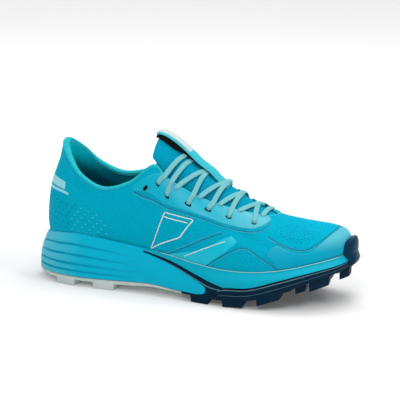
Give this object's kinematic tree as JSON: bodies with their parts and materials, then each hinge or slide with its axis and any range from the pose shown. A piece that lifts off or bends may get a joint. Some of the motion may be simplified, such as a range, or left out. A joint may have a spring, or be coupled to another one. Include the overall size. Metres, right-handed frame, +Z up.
{
  "type": "trail running shoe",
  "caption": "Right trail running shoe with knit upper, welded overlays, pull strap, two-part ribbed foam midsole and lugged rubber outsole with a toe bumper.",
  "frame": {"origin": "centre of the bounding box at the floor", "axes": "+X towards the toe, +Y towards the inner side of the foot, +Z up"},
  "size_m": [0.2714, 0.1012, 0.1316],
  "materials": {
    "knit_upper": "matt",
    "tongue_fabric": "matt",
    "insole_fabric": "matt",
    "foam_heel": "satin",
    "foam_forefoot": "satin",
    "rubber_pale": "matt",
    "rubber_navy": "satin",
    "welded_film": "satin",
    "panel_film": "satin",
    "toe_film": "satin",
    "webbing": "matt",
    "lace": "matt"
  },
  "bodies": {
    "root": {"upper": "knit_upper", "tongue": "tongue_fabric", "insole": "insole_fabric", "midsole_heel": "foam_heel", "midsole_forefoot": "foam_forefoot", "outsole_heel": "rubber_pale", "outsole_forefoot": "rubber_navy", "facing_outer": "welded_film", "facing_inner": "welded_film", "side_panel_outer": "panel_film", "side_panel_inner": "panel_film", "toe_overlay": "toe_film", "tongue_strap": "webbing", "lace_straight": "lace", "lace_cross_1": "lace", "lace_cross_2": "lace", "lace_cross_3": "lace", "lace_cross_4": "lace", "lace_cross_5": "lace"}
  },
  "joints": []
}
